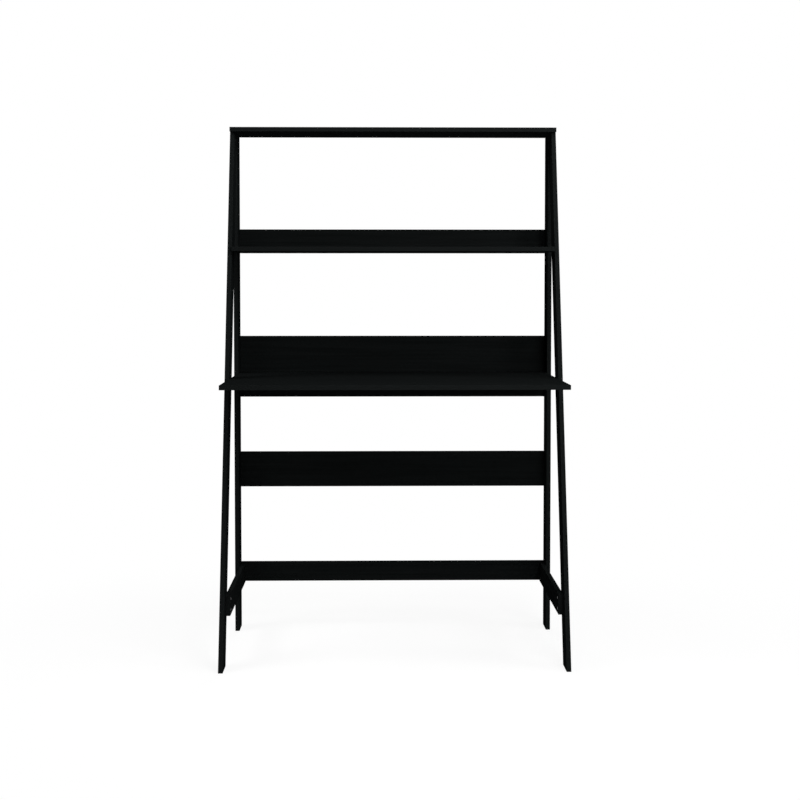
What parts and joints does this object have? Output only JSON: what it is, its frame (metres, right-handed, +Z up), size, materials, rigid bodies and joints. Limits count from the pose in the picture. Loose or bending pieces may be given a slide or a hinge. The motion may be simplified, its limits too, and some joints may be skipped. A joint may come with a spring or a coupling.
{
  "type": "ladder desk",
  "caption": "Free-standing ladder desk: leaning front legs, upright rear legs, a deep desktop, two shelves above it and rails across the back.",
  "frame": {"origin": "on the floor, below the centre of the whole desk's box", "axes": "+Z up, -Y towards the person who sits at the desk, +Y towards the wall, +X to that person's right"},
  "size_m": [0.885, 0.55, 1.397],
  "materials": {
    "black_laminate": "satin black laminate on fibreboard",
    "zinc_cam": "die-cast zinc",
    "zinc_plated_steel": "bright zinc plating",
    "beech": "raw beech",
    "black_plastic": "moulded, fine grain",
    "black_screw": "black oxide"
  },
  "bodies": {
    "root": {"left_front_leg": "black_laminate", "right_front_leg": "black_laminate", "left_rear_leg": "black_laminate", "right_rear_leg": "black_laminate", "left_side_rail": "black_laminate", "right_side_rail": "black_laminate", "top_shelf": "black_laminate", "middle_shelf": "black_laminate", "desktop": "black_laminate", "middle_shelf_back_rail": "black_laminate", "desk_back_rail": "black_laminate", "desk_apron": "black_laminate", "lower_back_rail": "black_laminate", "bottom_back_rail": "black_laminate", "top_shelf_cams": "zinc_cam", "top_shelf_cam_bolts": "zinc_plated_steel", "top_shelf_dowels": "beech", "top_shelf_cam_caps": "black_plastic", "middle_shelf_cams": "zinc_cam", "middle_shelf_cam_bolts": "zinc_plated_steel", "middle_shelf_dowels": "beech", "middle_shelf_cam_caps": "black_plastic", "desktop_cams": "zinc_cam", "desktop_cam_bolts": "zinc_plated_steel", "desktop_dowels": "beech", "desktop_cam_caps": "black_plastic", "middle_shelf_back_rail_cams": "zinc_cam", "middle_shelf_back_rail_cam_bolts": "zinc_plated_steel", "middle_shelf_back_rail_dowels": "beech", "middle_shelf_back_rail_cam_caps": "black_plastic", "desk_back_rail_cams": "zinc_cam", "desk_back_rail_cam_bolts": "zinc_plated_steel", "desk_back_rail_dowels": "beech", "desk_back_rail_cam_caps": "black_plastic", "desk_apron_cams": "zinc_cam", "desk_apron_cam_bolts": "zinc_plated_steel", "desk_apron_dowels": "beech", "desk_apron_cam_caps": "black_plastic", "lower_back_rail_cams": "zinc_cam", "lower_back_rail_cam_bolts": "zinc_plated_steel", "lower_back_rail_dowels": "beech", "lower_back_rail_cam_caps": "black_plastic", "bottom_back_rail_cams": "zinc_cam", "bottom_back_rail_cam_bolts": "zinc_plated_steel", "bottom_back_rail_dowels": "beech", "bottom_back_rail_cam_caps": "black_plastic", "left_side_rail_screws": "black_screw", "right_side_rail_screws": "black_screw"}
  },
  "joints": []
}
